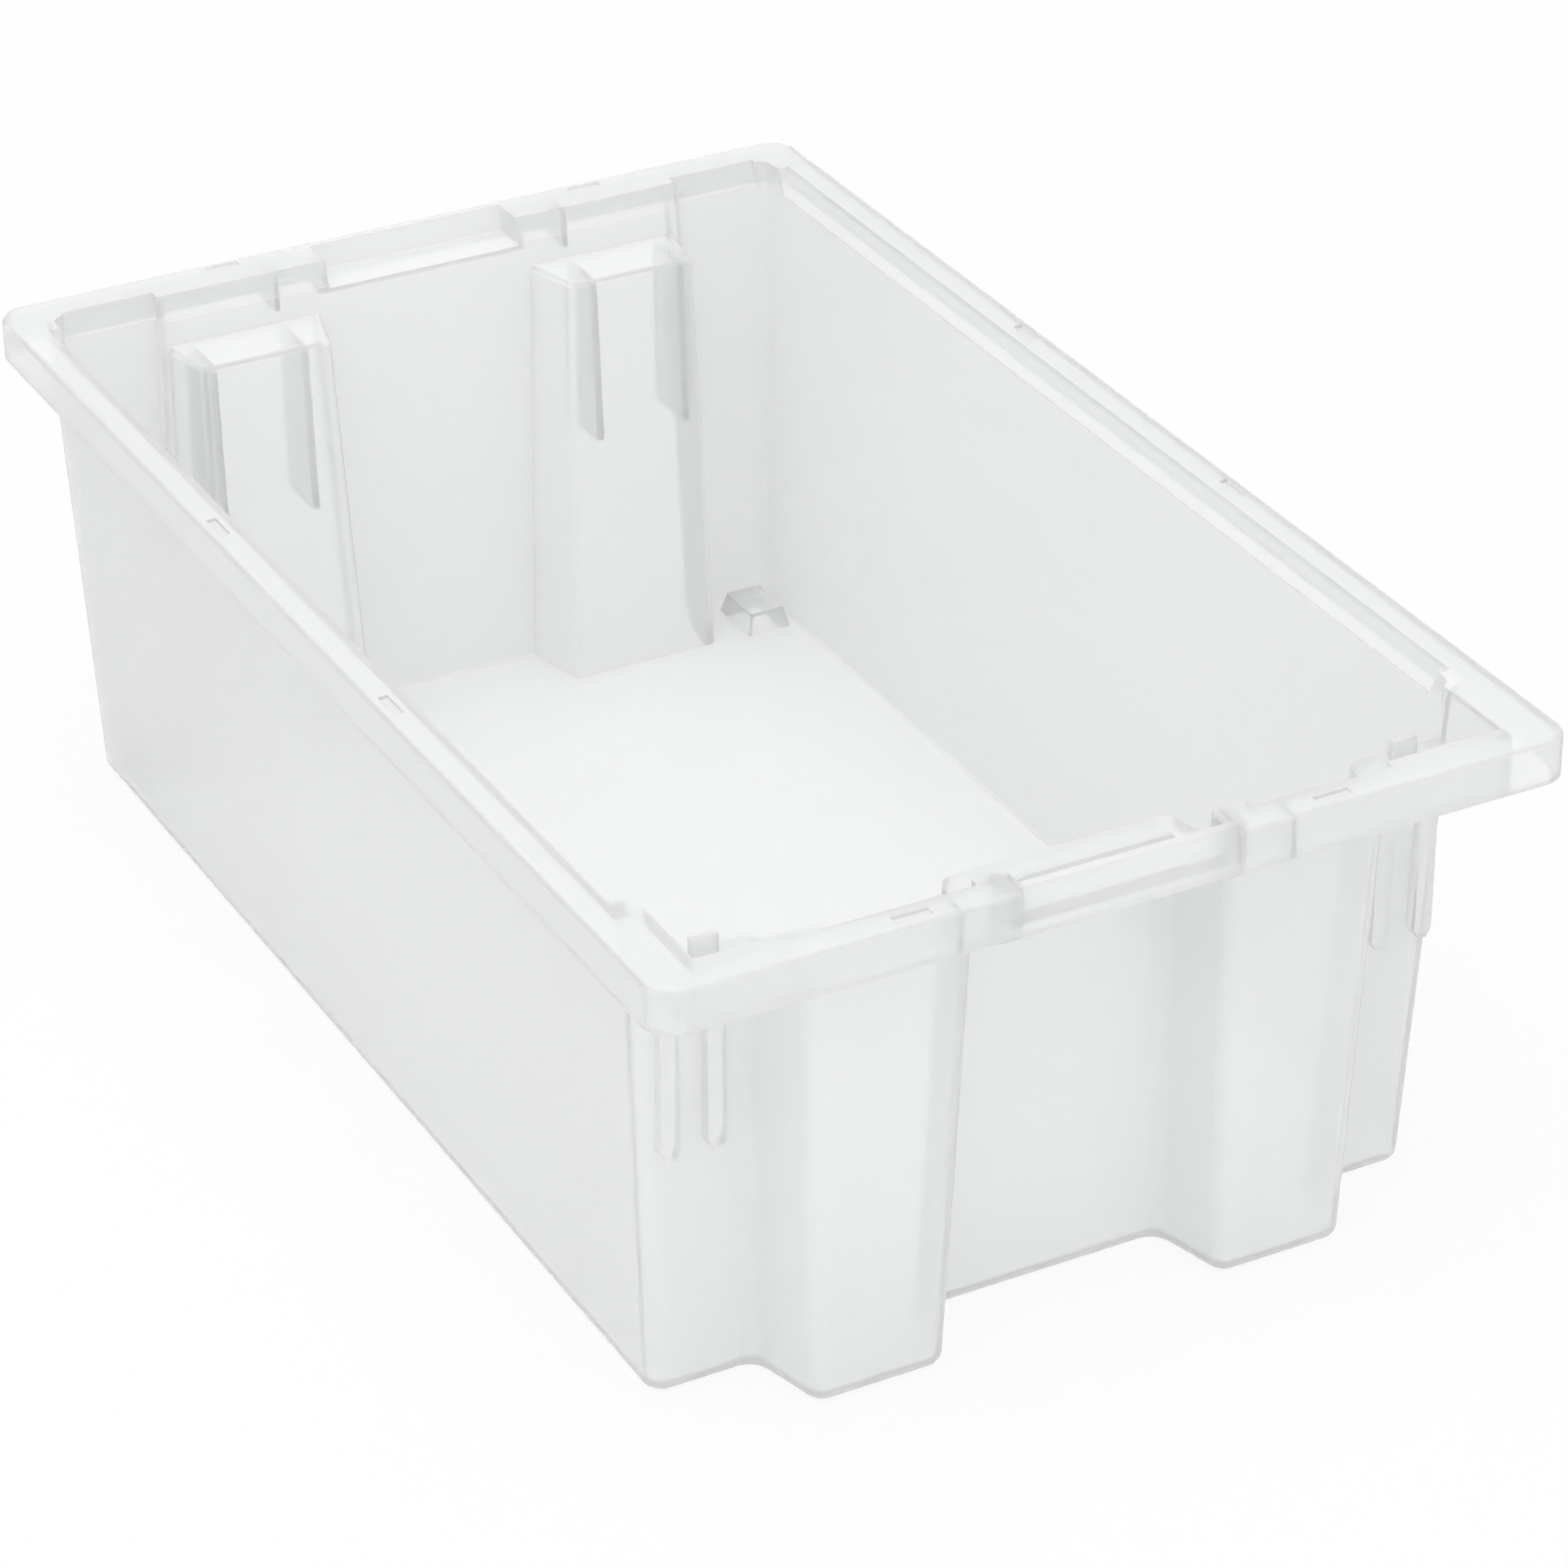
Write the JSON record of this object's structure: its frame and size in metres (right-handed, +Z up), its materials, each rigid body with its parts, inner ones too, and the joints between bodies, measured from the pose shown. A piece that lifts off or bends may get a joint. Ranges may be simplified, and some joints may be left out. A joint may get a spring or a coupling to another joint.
{
  "type": "stack and nest container",
  "caption": "Translucent moulded tote with tapered walls, a hollow rim, outward feet at one end and pillars with ledges at the other, to nest one way round and stack turned.",
  "frame": {"origin": "middle of the footprint, on the plane that the tote stands on", "axes": "+Z up; +Y along the length towards the end with the pillars; X across the width"},
  "size_m": [0.2794, 0.4572, 0.1588],
  "materials": {
    "shell": "satin, frosted and translucent, natural polypropylene"
  },
  "bodies": {
    "root": {"tote": "shell"}
  },
  "joints": []
}
